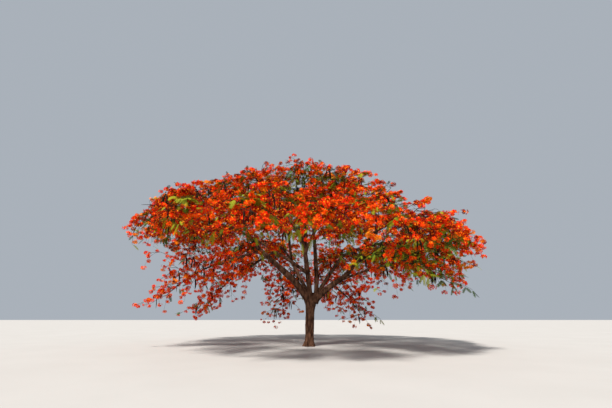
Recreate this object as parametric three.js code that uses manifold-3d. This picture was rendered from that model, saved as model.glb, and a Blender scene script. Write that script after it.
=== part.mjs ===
// A flame tree in full blossom: a short leaning trunk that forks low, seven limbs, the boughs that they
// carry, and a wide umbrella crown of separate masses of twigs, blossom, feathery leaves and pods.
// Millimetres, +Z up. The origin is the middle of the flat cut under the trunk, at ground level.
// +X is to the right and +Y away from somebody who sees the tree with its fuller side to their left.
import * as THREE from "three";
import { mergeVertices } from "three/addons/utils/BufferGeometryUtils.js";
import Module from "manifold-3d";

const wasm = await Module();
wasm.setup();

// Driving dimensions.
const treeHeight = 9950;
const crownRadius = 9480;
const crownShift = -230; // the crown's rim is centred this far to the left of the trunk
const domeDrop = 4500; // from the top of the crown down to its edge
const domePower = 1.9;
const leftLift = 880; // the crown's left edge stands this much above the mean edge, its right one below
const frontDroop = 1100; // the boughs and foliage of the crown's front edge hang this much lower
const forkHeight = 2750;
const forkShift = 110; // the trunk leans this far to the right by its fork
const trunkRadius = 226; // at breast height
const flareRadius = 330; // at the ground
const clearance = 0.4; // between neighbouring pieces
const sunk = 60; // how far the root of a piece is sunk into what carries it

// Length, width and thickness. A spray stands for many heads of blossom, or for several feathery leaves.
const bloomSpray = [1200, 1050, 700];
const leafSpray = [1300, 520, 42];
const pod = [560, 75, 32];

const up = new THREE.Vector3(0, 0, 1);
const radians = THREE.MathUtils.degToRad;
const lerp = THREE.MathUtils.lerp;

// The minimal standard generator, which gives the same numbers in any language.
function seeded(seed) {
  const modulus = 2147483647;
  const multiplier = 48271;
  let state = (seed * 7919 + 12345) % modulus;
  const draw = () => {
    state = (state * multiplier) % modulus;
    return state / modulus;
  };
  draw();
  draw();
  return draw;
}

const between = (draw, low, high) => low + (high - low) * draw();

// A point at a compass angle in degrees from +X towards +Y, a distance from the trunk's foot, a height.
function polar(azimuth, radius, height) {
  const a = radians(azimuth);
  return new THREE.Vector3(radius * Math.cos(a), radius * Math.sin(a), height);
}

// How far out in the crown a point is, as a share of the crown's radius.
function crownShare(p) {
  return Math.hypot(p.x - crownShift, p.y) / crownRadius;
}

// The highest that the crown reaches over a point.
function crownTop(p) {
  const drop = domeDrop * Math.pow(crownShare(p), domePower);
  return treeHeight - drop - (leftLift * p.x) / crownRadius;
}

// A point of a bough or stem, some way below the crown's top.
function underTop(azimuth, radius, below) {
  const p = polar(azimuth, radius, 0);
  p.x += (crownShift * radius) / crownRadius;
  const towardsFront = Math.max(0, -p.y / crownRadius);
  p.z = crownTop(p) - below - frontDroop * towardsFront ** 3;
  return p;
}

// Only positions matter to a solid, so the rest goes and the shared corners are merged.
function merged(geometry) {
  geometry.deleteAttribute("normal");
  geometry.deleteAttribute("uv");
  return mergeVertices(geometry);
}

function solidFrom(geometry) {
  return new wasm.Manifold(
    new wasm.Mesh({
      numProp: 3,
      vertProperties: new Float32Array(geometry.attributes.position.array),
      triVerts: new Uint32Array(geometry.index.array),
    }),
  );
}

// A round bar along a curve, tapering from one radius to another. A last radius of 0 gives a point.
// The bar can be grown on every side. The stretch function widens a ring at (share of the length, angle).
function bar(curve, radii, sides, segments, grown = 0, stretch = () => 1) {
  const [startRadius, endRadius] = radii.map((radius) => radius + grown);
  const geometry = merged(
    new THREE.CylinderGeometry(endRadius, startRadius, 1, sides, segments),
  );
  const frames = curve.computeFrenetFrames(segments, false);
  const positions = geometry.attributes.position;
  for (let i = 0; i < positions.count; i += 1) {
    const share = positions.getY(i) + 0.5;
    const ring = Math.round(share * segments);
    const x = positions.getX(i);
    const z = positions.getZ(i);
    const wide = stretch(share, Math.atan2(z, x));
    const beyond = ring === 0 ? -grown : ring === segments ? grown : 0;
    const p = curve
      .getPointAt(share)
      .addScaledVector(frames.tangents[ring], beyond)
      .addScaledVector(frames.binormals[ring], x * wide)
      .addScaledVector(frames.normals[ring], z * wide);
    positions.setXYZ(i, p.x, p.y, p.z);
  }
  return solidFrom(geometry);
}

// A pointed shape of 8 faces, with its length along one way and its thin side facing another.
function placed(centre, along, face, sizes) {
  const side = new THREE.Vector3().crossVectors(face, along).normalize();
  const thin = new THREE.Vector3().crossVectors(along, side).normalize();
  const shape = merged(new THREE.OctahedronGeometry(0.5));
  shape.applyMatrix4(
    new THREE.Matrix4()
      .makeBasis(along.clone().normalize(), side, thin)
      .multiply(new THREE.Matrix4().makeScale(...sizes)),
  );
  shape.translate(centre.x, centre.y, centre.z);
  return solidFrom(shape);
}

function joined(solids) {
  return solids.reduce((whole, next) => whole.add(next));
}

function largestBody(solid) {
  return solid.decompose().reduce((a, b) => (a.volume() > b.volume() ? a : b));
}

// A solid cut clear of its neighbours, without the scraps that the cut leaves.
function cutClear(solid, neighbours) {
  return largestBody(neighbours.reduce((s, n) => s.subtract(n), solid));
}

// A curve that sets out one way and arrives another.
function sweep(start, leave, end, arrive, pull) {
  const reach = start.distanceTo(end) * pull;
  return new THREE.CubicBezierCurve3(
    start,
    start.clone().addScaledVector(leave.clone().normalize(), reach),
    end.clone().addScaledVector(arrive.clone().normalize(), -reach),
    end,
  );
}

// Every woody piece as { name, curve, startRadius, endRadius, solid, grown }, the trunk first.
const limbs = [];

// A limb or bough, cut clear of the woody pieces that were there before it.
function addLimb(name, curve, radii, sides, segments) {
  const limb = { name, curve, startRadius: radii[0], endRadius: radii[1] };
  limb.solid = cutClear(
    bar(curve, radii, sides, segments),
    limbs.map((other) => other.grown),
  );
  limb.grown = bar(curve, radii, sides, segments, clearance);
  limbs.push(limb);
  return limb;
}

// The trunk flares into buttresses at its foot and widens sideways under the fork.
function trunkStretch(share, angle) {
  const foot = Math.pow(Math.max(0, 1 - share / 0.17), 2);
  const buttress = 1 + 0.16 * foot * Math.cos(5 * angle + 0.6);
  const flare = 1 + (flareRadius / trunkRadius - 1) * foot;
  const fork = THREE.MathUtils.smoothstep(share, 0.55, 1);
  const sideways = Math.abs(Math.cos(angle));
  return flare * buttress * (1 + fork * (0.16 + 0.44 * sideways));
}

function addTrunk() {
  const curve = new THREE.CubicBezierCurve3(
    new THREE.Vector3(0, 0, 0),
    new THREE.Vector3(0, 0, forkHeight * 0.35),
    new THREE.Vector3(forkShift * 0.7, 0, forkHeight * 0.7),
    new THREE.Vector3(forkShift, 0, forkHeight),
  );
  const radii = [trunkRadius, trunkRadius];
  limbs.push({
    name: "trunk",
    curve,
    startRadius: trunkRadius,
    endRadius: trunkRadius * 1.6,
    solid: bar(curve, radii, 12, 10, 0, trunkStretch),
    grown: bar(curve, radii, 12, 10, clearance, trunkStretch),
  });
}

// The limbs round the fork. Each starts at an offset from the fork's middle, sets out in the direction
// called leave, and ends at a compass angle, a distance out and a height.
const limbPlan = [
  {
    name: "limb_left",
    start: [-110, -10, -420],
    leave: [-0.62, -0.05, 1],
    tip: [188, 3050, 5350],
    radii: [205, 118],
  },
  {
    name: "limb_front",
    start: [-70, -40, -330],
    leave: [-0.04, -0.1, 1],
    tip: [250, 950, 5750],
    radii: [150, 105],
  },
  {
    name: "limb_rear",
    start: [250, 60, -380],
    leave: [0.12, 0.1, 1],
    tip: [65, 820, 5950],
    radii: [135, 98],
  },
  {
    name: "limb_right",
    start: [170, -20, -470],
    leave: [0.75, -0.05, 1],
    tip: [-3, 2150, 3780],
    radii: [185, 122],
  },
  {
    name: "limb_right_rear",
    start: [270, 90, -250],
    leave: [0.5, 0.35, 1],
    tip: [34, 2450, 5000],
    radii: [112, 84],
  },
  {
    name: "limb_rear_left",
    start: [-130, 90, -330],
    leave: [-0.25, 0.6, 1],
    tip: [118, 2500, 5000],
    radii: [112, 84],
  },
];
// This one leaves the side of another limb.
const sideLimb = {
  name: "limb_upper_left",
  parent: "limb_front",
  at: 0.4,
  leave: [-0.9, 0.3, 0.75],
  tip: [160, 2350, 5350],
  radii: [98, 78],
};

function addMainLimb(plan, start) {
  const leave = new THREE.Vector3(...plan.leave);
  const end = polar(...plan.tip);
  const outward = end.clone().sub(start);
  addLimb(plan.name, sweep(start, leave, end, outward, 0.36), plan.radii, 7, 5);
}

function addMainLimbs() {
  const fork = new THREE.Vector3(forkShift, 0, forkHeight);
  limbPlan.forEach((plan) =>
    addMainLimb(plan, fork.clone().add(new THREE.Vector3(...plan.start))),
  );
  const parent = limbs.find((limb) => limb.name === sideLimb.parent);
  addMainLimb(sideLimb, parent.curve.getPoint(sideLimb.at));
}

// Each ring of boughs goes round the trunk. A bough's tip carries several masses side by side. The foot
// is where a bough ends and its masses start, and the tip where the stems of the masses end.
const rings = [
  {
    name: "rim",
    boughs: 7,
    firstAzimuth: 12,
    massesEach: 2,
    spread: 25.7,
    foot: { radius: 5000, below: 2500 },
    tip: { radius: 8750, below: 480 },
    arch: 900,
    twigLengths: [650, 1250],
    boughRadii: [98, 84],
    leafShare: 0.3,
  },
  {
    name: "shoulder",
    boughs: 4,
    firstAzimuth: 38,
    massesEach: 2,
    spread: 44,
    foot: { radius: 2500, below: 2300 },
    tip: { radius: 5700, below: 450 },
    arch: 300,
    twigLengths: [700, 1500],
    boughRadii: [88, 82],
    leafShare: 0.28,
  },
  {
    name: "top",
    boughs: 2,
    firstAzimuth: 35,
    massesEach: 2,
    spread: 100,
    foot: { radius: 600, below: 2000 },
    tip: { radius: 2350, below: 500 },
    arch: 200,
    twigLengths: [600, 1300],
    boughRadii: [84, 80],
    leafShare: 0.25,
  },
];
// The masses that droop under the crown's edge, each on a bough of its own.
const drooping = [
  { azimuth: 184, foot: [5300, 4250], tip: [7700, 2600], leafShare: 0.25 },
  { azimuth: 152, foot: [4700, 4300], tip: [7500, 2100], leafShare: 0.25 },
  { azimuth: 106, foot: [3600, 4050], tip: [6900, 2000], leafShare: 0.3 },
  { azimuth: 52, foot: [2600, 3250], tip: [6000, 1400], leafShare: 0.25 },
  { azimuth: -4, foot: [5700, 4300], tip: [8500, 3500], leafShare: 0.6 },
  { azimuth: -40, foot: [4200, 4350], tip: [6900, 3350], leafShare: 0.6 },
];
const droopSizes = {
  arch: 420,
  twigLengths: [700, 1000],
  boughRadii: [78, 58],
};

// Every mass as { name, bough, curve, site, outward, twigLengths, leafShare, droop, stemRadius }.
const masses = [];

// A bough starts on the limb that it carries on best: near to it, in line with it and not yet laden.
function carryingLimb(tip) {
  const cost = (limb) => {
    const gap = tip.clone().sub(limb.curve.getPoint(1));
    const bend = gap.angleTo(limb.curve.getTangent(1));
    return gap.length() * (1 + 0.5 * bend) * (1 + 0.2 * (limb.carried ?? 0));
  };
  const mains = limbs.filter((limb) => limb.name.startsWith("limb_"));
  return mains.reduce((a, b) => (cost(a) <= cost(b) ? a : b));
}

// Boughs that share a limb leave it one behind another.
const boughStep = 0.13;

function addBough(name, azimuth, tip, arriveRise, radii) {
  const parent = carryingLimb(tip);
  const at = 1 - boughStep * (parent.carried ?? 0);
  parent.carried = (parent.carried ?? 0) + 1;
  const start = parent.curve.getPoint(at);
  const leave = parent.curve
    .getTangent(at)
    .multiplyScalar(0.6)
    .add(tip.clone().sub(start).normalize());
  const arrive = polar(azimuth, 1, arriveRise);
  const fitting = [Math.min(radii[0], parent.endRadius * 0.9), radii[1]];
  return addLimb(name, sweep(start, leave, tip, arrive, 0.3), fitting, 5, 5);
}

// The stem of a mass, from beside the bough's axis over an arch to its tip.
function addMass(name, bough, offset, azimuth, tip, sizes) {
  const end = bough.curve.getPoint(1);
  const tangent = bough.curve.getTangent(1);
  const lateral = new THREE.Vector3().crossVectors(up, tangent).normalize();
  const foot = end
    .clone()
    .addScaledVector(tangent, -sunk)
    .addScaledVector(lateral, offset);
  const control = foot.clone().lerp(tip, 0.5).addScaledVector(up, sizes.arch);
  const curve = new THREE.QuadraticBezierCurve3(foot, control, tip);
  masses.push({
    name,
    bough,
    curve,
    site: curve.getPoint(0.58),
    outward: polar(azimuth, 1, 0),
    twigLengths: sizes.twigLengths,
    leafShare: sizes.leafShare,
    droop: Math.max(0, curve.getPoint(0.5).z - tip.z) / 1000,
    stemRadius: bough.endRadius * (offset === 0 ? 0.9 : 0.47),
  });
}

const layout = seeded(11);

function addRing(ring) {
  const run = ring.tip.radius - ring.foot.radius;
  const stemsApart = ring.boughRadii[1] + 2;
  for (let i = 0; i < ring.boughs; i += 1) {
    const azimuth =
      ring.firstAzimuth + (360 / ring.boughs) * i + between(layout, -3, 3);
    const footRadius = ring.foot.radius * between(layout, 0.95, 1.04);
    const footBelow = ring.foot.below + between(layout, -150, 150);
    const end = underTop(azimuth, footRadius, footBelow);
    const far = underTop(azimuth, ring.tip.radius, ring.tip.below);
    const bough = addBough(
      `${ring.name}_bough_${i + 1}`,
      azimuth,
      end,
      (far.z - end.z + 2 * ring.arch) / run,
      ring.boughRadii,
    );
    for (let k = 0; k < ring.massesEach; k += 1) {
      const side = k - (ring.massesEach - 1) / 2;
      const turned = azimuth + ring.spread * side;
      const tipRadius = ring.tip.radius * between(layout, 0.96, 1.03);
      const tipBelow = ring.tip.below + between(layout, -150, 150);
      const tip = underTop(turned, tipRadius, tipBelow);
      addMass(
        `${ring.name}_foliage_${i * ring.massesEach + k + 1}`,
        bough,
        side * stemsApart,
        turned,
        tip,
        ring,
      );
    }
  }
}

function addDrooping(plan, i) {
  const end = polar(plan.azimuth, ...plan.foot);
  const tip = polar(plan.azimuth, ...plan.tip);
  const name = `low_bough_${i + 1}`;
  const bough = addBough(name, plan.azimuth, end, -0.1, droopSizes.boughRadii);
  addMass(`low_foliage_${i + 1}`, bough, 0, plan.azimuth, tip, {
    ...droopSizes,
    leafShare: plan.leafShare,
  });
}

const twigsEach = 5;
const twigRadius = 15;
const stemEndRadius = 30;
const twigShares = [0.2, 0.92]; // where the first and the last twig leave the stem
const sprayShares = [0.5, 1]; // along a twig
const stemSprayShares = [0.4, 0.7, 1];
const podChance = 0.08;
const cellMargin = 12; // half of the least gap between two masses
const crowding = 0.3;
const limbMargin = 70;
const limbSamples = 14;
const lowestLeaf = 700;

// A mass keeps to the points that are nearer to its own site than to any other, under the crown's top.
function inSpace(p, mass) {
  if (p.z > crownTop(p) || p.z < lowestLeaf) return false;
  if (crownShare(p) > 1) return false;
  return masses.every((other) => {
    if (other === mass) return true;
    const across = other.site.clone().sub(mass.site);
    const middle = other.site.clone().add(mass.site).multiplyScalar(0.5);
    const past = p.clone().sub(middle).dot(across) / across.length();
    return past < -cellMargin;
  });
}

// Whether some points keep off every woody piece but the mass's own bough.
function clearOfLimbs(points, mass) {
  const nearest = new THREE.Vector3();
  return limbs.every((limb) => {
    if (limb === mass.bough) return true;
    limb.samples ??= limb.curve.getPoints(limbSamples);
    for (let i = 0; i < limbSamples; i += 1) {
      const line = new THREE.Line3(limb.samples[i], limb.samples[i + 1]);
      const share = i / limbSamples;
      const radius = lerp(limb.startRadius, limb.endRadius, share);
      for (const p of points) {
        line.closestPointToPoint(p, true, nearest);
        if (nearest.distanceTo(p) < radius + limbMargin) return false;
      }
    }
    return true;
  });
}

function fits(points, mass) {
  return points.every((p) => inSpace(p, mass)) && clearOfLimbs(points, mass);
}

// Twig j of a mass leaves its stem to one side or the other, more sharply near the foot.
function twigCurve(mass, j, draw) {
  const share = lerp(...twigShares, j / (twigsEach - 1));
  const start = mass.curve.getPoint(share);
  const turn = (j % 2 === 0 ? 1 : -1) * lerp(70, 36, share);
  const along = mass.outward
    .clone()
    .applyAxisAngle(up, radians(turn + between(draw, -9, 9)));
  along.z = between(draw, -0.12, 0.42) - mass.droop * 0.35;
  const length = lerp(...mass.twigLengths, share) * between(draw, 0.85, 1.1);
  return (shorter) => {
    const end = start.clone().addScaledVector(along, length * shorter);
    const control = start.clone().lerp(end, 0.5);
    control.z += length * shorter * 0.1;
    return new THREE.QuadraticBezierCurve3(start, control, end);
  };
}

// Where a spray grows on a twig or stem, which way it points, how large it is and whether it is a leaf.
function sprayOn(mass, curve, share, side, draw) {
  const atTip = share === 1;
  const turn = atTip ? between(draw, -15, 15) : side * between(draw, 40, 80);
  const along = curve.getTangent(share).applyAxisAngle(up, radians(turn));
  along.z = along.z * 0.4 + between(draw, -0.2, 0.2) - mass.droop * 0.25;
  return {
    root: curve.getPoint(share),
    along: along.normalize(),
    size: between(draw, 0.85, 1.15),
    sunk: atTip ? 80 : 0,
    isLeaf: draw() < mass.leafShare,
  };
}

// A spray is a flat pointed shape of 8 faces whose inner corner is sunk in its twig.
function sprayShape(spray, smaller) {
  const full = spray.isLeaf ? leafSpray : bloomSpray;
  const sizes = full.map((size) => size * spray.size * smaller);
  const [length, width, thickness] = sizes;
  const centre = spray.root
    .clone()
    .addScaledVector(spray.along, length / 2 - spray.sunk);
  const side = new THREE.Vector3().crossVectors(up, spray.along).normalize();
  const thin = new THREE.Vector3().crossVectors(spray.along, side);
  const points = [-0.25, 0, 0.5].map((share) =>
    centre.clone().addScaledVector(spray.along, length * share),
  );
  for (const half of [-0.5, 0.5]) {
    points.push(centre.clone().addScaledVector(side, width * half));
    points.push(centre.clone().addScaledVector(thin, thickness * half));
  }
  const make = () => placed(centre, spray.along, up, sizes);
  return { centre, sizes, points, make };
}

// Whether two sprays of a mass would run far into each other.
function crowded(one, other) {
  const gap = one.centre.clone().sub(other.centre);
  const level = (one.sizes[0] + other.sizes[0]) * crowding;
  const upright = (one.sizes[2] + other.sizes[2]) * crowding;
  return Math.hypot(gap.x / level, gap.y / level, gap.z / upright) < 1;
}

// A woody pod that hangs from its twig.
function podShape(root) {
  const centre = root.clone();
  centre.z -= pod[0] / 2 - twigRadius;
  const points = [0.1, 0.5].map((share) =>
    centre.clone().addScaledVector(up, -pod[0] * share),
  );
  const down = up.clone().negate();
  const make = () => placed(centre, down, new THREE.Vector3(0, 1, 0), pod);
  return { points, make };
}

// What would leave the mass's space or touch a limb is tried shorter, then left out.
const trialSizes = [1, 0.8, 0.62];

function growMass(mass, index) {
  const draw = seeded(101 + index);
  const stemRadii = [mass.stemRadius, stemEndRadius];
  const solids = [bar(mass.curve, stemRadii, 4, 6)];
  const sprays = [];
  const addSpray = (curve, share, side) => {
    const spray = sprayOn(mass, curve, share, side, draw);
    const shape = trialSizes
      .map((smaller) => sprayShape(spray, smaller))
      .filter((trial) => sprays.every((other) => !crowded(trial, other)))
      .find((trial) => fits(trial.points, mass));
    if (shape) {
      sprays.push(shape);
      solids.push(shape.make());
    }
    const fruit = podShape(curve.getPoint(share * 0.8));
    if (draw() < podChance && fits(fruit.points, mass)) {
      solids.push(fruit.make());
    }
  };
  for (let j = 0; j < twigsEach; j += 1) {
    const curveOf = twigCurve(mass, j, draw);
    const curve = trialSizes
      .map(curveOf)
      .find((trial) => fits(trial.getPoints(4).slice(1), mass));
    if (curve) {
      solids.push(bar(curve, [twigRadius, 0], 3, 2));
      sprayShares.forEach((share, k) =>
        addSpray(curve, share, k % 2 === 0 ? 1 : -1),
      );
    }
  }
  stemSprayShares.forEach((share) => addSpray(mass.curve, share, 1));
  const fellows = masses
    .filter((other) => other.bough === mass.bough && other.grownStem)
    .map((other) => other.grownStem);
  mass.grownStem = bar(mass.curve, stemRadii, 4, 6, clearance);
  mass.solid = cutClear(joined(solids), [mass.bough.grown, ...fellows]);
}

const bark = { color: 0x5b4636, roughness: 0.95, metalness: 0 };
const blossom = { color: 0xd8300c, roughness: 0.6, metalness: 0 };

function meshOf({ name, solid }, finish) {
  const shape = solid.getMesh();
  const positions = new THREE.BufferAttribute(shape.vertProperties, 3);
  const geometry = new THREE.BufferGeometry();
  geometry.setAttribute("position", positions);
  geometry.setIndex(new THREE.BufferAttribute(shape.triVerts, 1));
  geometry.computeVertexNormals();
  const mesh = new THREE.Mesh(
    geometry,
    new THREE.MeshStandardMaterial(finish),
  );
  mesh.name = name;
  return mesh;
}

addTrunk();
addMainLimbs();
rings.forEach(addRing);
drooping.forEach(addDrooping);
masses.forEach(growMass);

const tree = new THREE.Group();
limbs.forEach((limb) => tree.add(meshOf(limb, bark)));
masses.forEach((mass) => tree.add(meshOf(mass, blossom)));

export default tree;
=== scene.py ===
import math
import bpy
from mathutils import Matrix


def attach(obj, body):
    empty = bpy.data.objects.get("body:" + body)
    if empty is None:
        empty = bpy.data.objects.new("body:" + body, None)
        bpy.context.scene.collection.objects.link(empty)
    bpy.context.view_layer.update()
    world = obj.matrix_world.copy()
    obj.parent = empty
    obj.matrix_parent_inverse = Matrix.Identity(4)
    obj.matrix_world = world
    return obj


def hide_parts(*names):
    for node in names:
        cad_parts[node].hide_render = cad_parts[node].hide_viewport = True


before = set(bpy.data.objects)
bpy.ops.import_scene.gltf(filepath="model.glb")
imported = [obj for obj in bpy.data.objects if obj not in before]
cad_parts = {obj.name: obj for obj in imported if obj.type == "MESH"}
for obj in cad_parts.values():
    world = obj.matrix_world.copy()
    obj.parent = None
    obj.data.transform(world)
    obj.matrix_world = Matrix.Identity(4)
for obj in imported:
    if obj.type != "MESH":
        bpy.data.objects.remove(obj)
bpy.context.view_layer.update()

from types import SimpleNamespace

import bmesh
import bpy
import numpy as np
from mathutils import kdtree

# A flame tree in full blossom. The first half grows the same limbs, boughs, stems, twigs and sprays as the
# CAD source, by the same rule and in millimetres. The second half carries them on to finer twigs, heads of
# blossom, feathery leaves and pods, and makes the meshes, in metres.

# Driving dimensions of the source, in millimetres.
TREE_HEIGHT = 9950
CROWN_RADIUS = 9480
CROWN_SHIFT = -230
DOME_DROP = 4500
DOME_POWER = 1.9
LEFT_LIFT = 880
FRONT_DROOP = 1100
FORK_HEIGHT = 2750
FORK_SHIFT = 110
TRUNK_RADIUS = 226
FLARE_RADIUS = 330
SUNK = 60
BLOOM_SPRAY = (1200, 1050, 700)
LEAF_SPRAY = (1300, 520, 42)
POD = (560, 75, 32)
MM = 0.001

UP = np.array([0.0, 0.0, 1.0])
FRONT = np.array([0.0, -1.0, 0.0])
PRIME = 2147483647


def seeded(seed):
    """The minimal standard generator of the source, so that both grow the same twigs."""
    state = (seed * 7919 + 12345) % PRIME

    def draw(low=0, high=1):
        nonlocal state
        state = state * 48271 % PRIME
        return low + (high - low) * (state / PRIME)

    draw()
    draw()
    return draw


def lerp(low, high, share):
    return low + (high - low) * share


def unit(v):
    return v / np.linalg.norm(v)


def unit_rows(rows):
    return rows / np.linalg.norm(rows, axis=-1, keepdims=True)


def alternate(k):
    """1 for an even number and -1 for an odd one."""
    return 1 if k % 2 == 0 else -1


def evenly(low, high, count):
    """Several evenly spread shares."""
    return [lerp(low, high, k / (count - 1)) for k in range(count)]


def polar(azimuth, radius, height):
    a = math.radians(azimuth)
    return np.array([radius * math.cos(a), radius * math.sin(a), height], dtype=float)


def turned(v, degrees):
    """A direction turned about the vertical."""
    a = math.radians(degrees)
    c, s = math.cos(a), math.sin(a)
    return np.array([v[0] * c - v[1] * s, v[0] * s + v[1] * c, v[2]])


def crown_share(p):
    return np.hypot(p[..., 0] - CROWN_SHIFT, p[..., 1]) / CROWN_RADIUS


def crown_top(p):
    drop = DOME_DROP * crown_share(p) ** DOME_POWER
    return TREE_HEIGHT - drop - LEFT_LIFT * p[..., 0] / CROWN_RADIUS


def under_top(azimuth, radius, below):
    p = polar(azimuth, radius, 0)
    p[0] += CROWN_SHIFT * radius / CROWN_RADIUS
    towards_front = max(0.0, -p[1] / CROWN_RADIUS)
    p[2] = crown_top(p) - below - FRONT_DROOP * towards_front ** 3
    return p


class Curve:
    """A Bezier curve through its first and last control point."""

    def __init__(self, *points):
        self.points = np.array(points, dtype=float)
        self.carrier = None  # the curve that this one grows on
        self.share_on = 0  # and where on it
        self.used = 0  # how much of this curve has to be made

    def steps_to(self, share):
        """The first control points of the ever shorter rows that lead to a share of the curve."""
        share = np.asarray(share, dtype=float)[..., None]
        rows = [self.points]
        while len(rows[-1]) > 1:
            rows.append([a + (b - a) * share for a, b in zip(rows[-1], rows[-1][1:])])
        return [row[0] for row in rows]

    def at(self, share):
        """The point at a share of the curve, or a row for each of several shares."""
        return self.steps_to(share)[-1]

    def first_part(self, share):
        """The same curve from its start to a share of it."""
        return Curve(*self.steps_to(share))

    def bears(self, share):
        """Something grows at a share of the curve, so that it and what carries it have to be made so far."""
        self.used = max(self.used, share)
        if self.carrier:
            self.carrier.bears(self.share_on)

    def tangent(self, share):
        ahead, behind = (self.at(np.clip(np.asarray(share) + step, 0, 1)) for step in (0.0001, -0.0001))
        return unit_rows(ahead - behind)


def sweep(start, leave, end, arrive, pull):
    reach = np.linalg.norm(end - start) * pull
    return Curve(start, start + unit(leave) * reach, end - unit(arrive) * reach, end)


# Every woody piece, with its name, curve, two radii and how many boughs it carries.
limbs = []

FLARE_SHARE = 0.17  # of the trunk's length
BUTTRESSES = 5
BUTTRESS_DEPTH = 0.16
BUTTRESS_TURN = 0.6
FORK_SHARE = 0.55  # from here the trunk widens into its limbs, more so to the left and right
FORK_SWELL = 0.16
FORK_SIDE_SWELL = 0.44


def add_limb(name, curve, radii):
    limb = SimpleNamespace(name=name, curve=curve, radii=radii, carried=0)
    limbs.append(limb)
    return limb


def trunk_radius(share, angle):
    """The trunk's radius at a share of its length, in a direction from +X."""
    foot = np.maximum(0, 1 - share / FLARE_SHARE) ** 2
    buttress = 1 + BUTTRESS_DEPTH * foot * np.cos(BUTTRESSES * angle + BUTTRESS_TURN)
    flare = 1 + (FLARE_RADIUS / TRUNK_RADIUS - 1) * foot
    s = np.clip((share - FORK_SHARE) / (1 - FORK_SHARE), 0, 1)
    swell = FORK_SWELL + FORK_SIDE_SWELL * np.abs(np.cos(angle))
    return TRUNK_RADIUS * flare * buttress * (1 + s * s * (3 - 2 * s) * swell)


def add_trunk():
    shift, height = FORK_SHIFT, FORK_HEIGHT
    curve = Curve([0, 0, 0], [0, 0, height * 0.35], [shift * 0.7, 0, height * 0.7], [shift, 0, height])
    add_limb("trunk", curve, (TRUNK_RADIUS, TRUNK_RADIUS * 1.6))


# Name, offset of the start from the fork's middle, direction in which it sets out, tip as compass angle,
# distance out and height, and the two radii.
LIMB_PLAN = (
    ("limb_left", (-110, -10, -420), (-0.62, -0.05, 1), (188, 3050, 5350), (205, 118)),
    ("limb_front", (-70, -40, -330), (-0.04, -0.1, 1), (250, 950, 5750), (150, 105)),
    ("limb_rear", (250, 60, -380), (0.12, 0.1, 1), (65, 820, 5950), (135, 98)),
    ("limb_right", (170, -20, -470), (0.75, -0.05, 1), (-3, 2150, 3780), (185, 122)),
    ("limb_right_rear", (270, 90, -250), (0.5, 0.35, 1), (34, 2450, 5000), (112, 84)),
    ("limb_rear_left", (-130, 90, -330), (-0.25, 0.6, 1), (118, 2500, 5000), (112, 84)),
)
SIDE_LIMB = ("limb_upper_left", (-0.9, 0.3, 0.75), (160, 2350, 5350), (98, 78))
SIDE_LIMB_AT = 0.4  # of the limb that carries it
LIMB_PULL, BOUGH_PULL = 0.36, 0.3  # how far a curve keeps the way that it sets out, as a share of its reach


def add_main_limb(name, start, leave, tip, radii):
    end = polar(*tip)
    add_limb(name, sweep(start, np.array(leave), end, end - start, LIMB_PULL), radii)


def add_main_limbs():
    fork = np.array([FORK_SHIFT, 0, FORK_HEIGHT], dtype=float)
    for name, start, leave, tip, radii in LIMB_PLAN:
        add_main_limb(name, fork + start, leave, tip, radii)
    parent = next(limb for limb in limbs if limb.name == "limb_front")
    name, leave, tip, radii = SIDE_LIMB
    add_main_limb(name, parent.curve.at(SIDE_LIMB_AT), leave, tip, radii)


# Each ring of boughs: name, boughs, first azimuth, masses to a bough, spread of the masses, foot and tip of
# the masses as (radius, distance below the crown's top), arch, twig lengths, bough radii, share of leaves.
RINGS = (
    ("rim", 7, 12, 2, 25.7, (5000, 2500), (8750, 480), 900, (650, 1250), (98, 84), 0.3),
    ("shoulder", 4, 38, 2, 44, (2500, 2300), (5700, 450), 300, (700, 1500), (88, 82), 0.28),
    ("top", 2, 35, 2, 100, (600, 2000), (2350, 500), 200, (600, 1300), (84, 80), 0.25),
)
# The drooping masses: azimuth, foot and tip as (radius, height), share of leaves.
DROOPING = (
    (184, (5300, 4250), (7700, 2600), 0.25),
    (152, (4700, 4300), (7500, 2100), 0.25),
    (106, (3600, 4050), (6900, 2000), 0.3),
    (52, (2600, 3250), (6000, 1400), 0.25),
    (-4, (5700, 4300), (8500, 3500), 0.6),
    (-40, (4200, 4350), (6900, 3350), 0.6),
)
DROOP_ARCH = 420
DROOP_TWIG_LENGTHS = (700, 1000)
DROOP_BOUGH_RADII = (78, 58)
DROOP_RISE = -0.1
BOUGH_STEP = 0.13  # how much farther in each further bough leaves a limb
BOUGH_TURNS = (-3, 3)
FOOT_REACH = (0.95, 1.04)
TIP_REACH = (0.96, 1.03)
HEIGHTS_VARY = (-150, 150)
STEM_GAP = 2
STEM_ALONE, STEM_PAIRED = 0.9, 0.47  # the radius of a mass's stem, as a share of its bough's
SITE_SHARE = 0.58  # where on its stem a mass has its middle
LEAFY_FROM = 0.5

masses = []


def carrying_limb(tip):
    """The limb that a bough goes on from best: near to it, in line with it and not yet laden."""

    def cost(limb):
        gap = tip - limb.curve.at(1)
        bend = math.acos(np.clip(np.dot(unit(gap), unit(limb.curve.tangent(1))), -1, 1))
        return np.linalg.norm(gap) * (1 + 0.5 * bend) * (1 + 0.2 * limb.carried)

    return min((limb for limb in limbs if limb.name.startswith("limb_")), key=cost)


def add_bough(name, azimuth, tip, arrive_rise, radii):
    parent = carrying_limb(tip)
    at = 1 - BOUGH_STEP * parent.carried
    parent.carried += 1
    start = parent.curve.at(at)
    leave = parent.curve.tangent(at) * 0.6 + unit(tip - start)
    arrive = polar(azimuth, 1, arrive_rise)
    fitting = (min(radii[0], parent.radii[1] * 0.9), radii[1])
    return add_limb(name, sweep(start, leave, tip, arrive, BOUGH_PULL), fitting)


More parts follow.
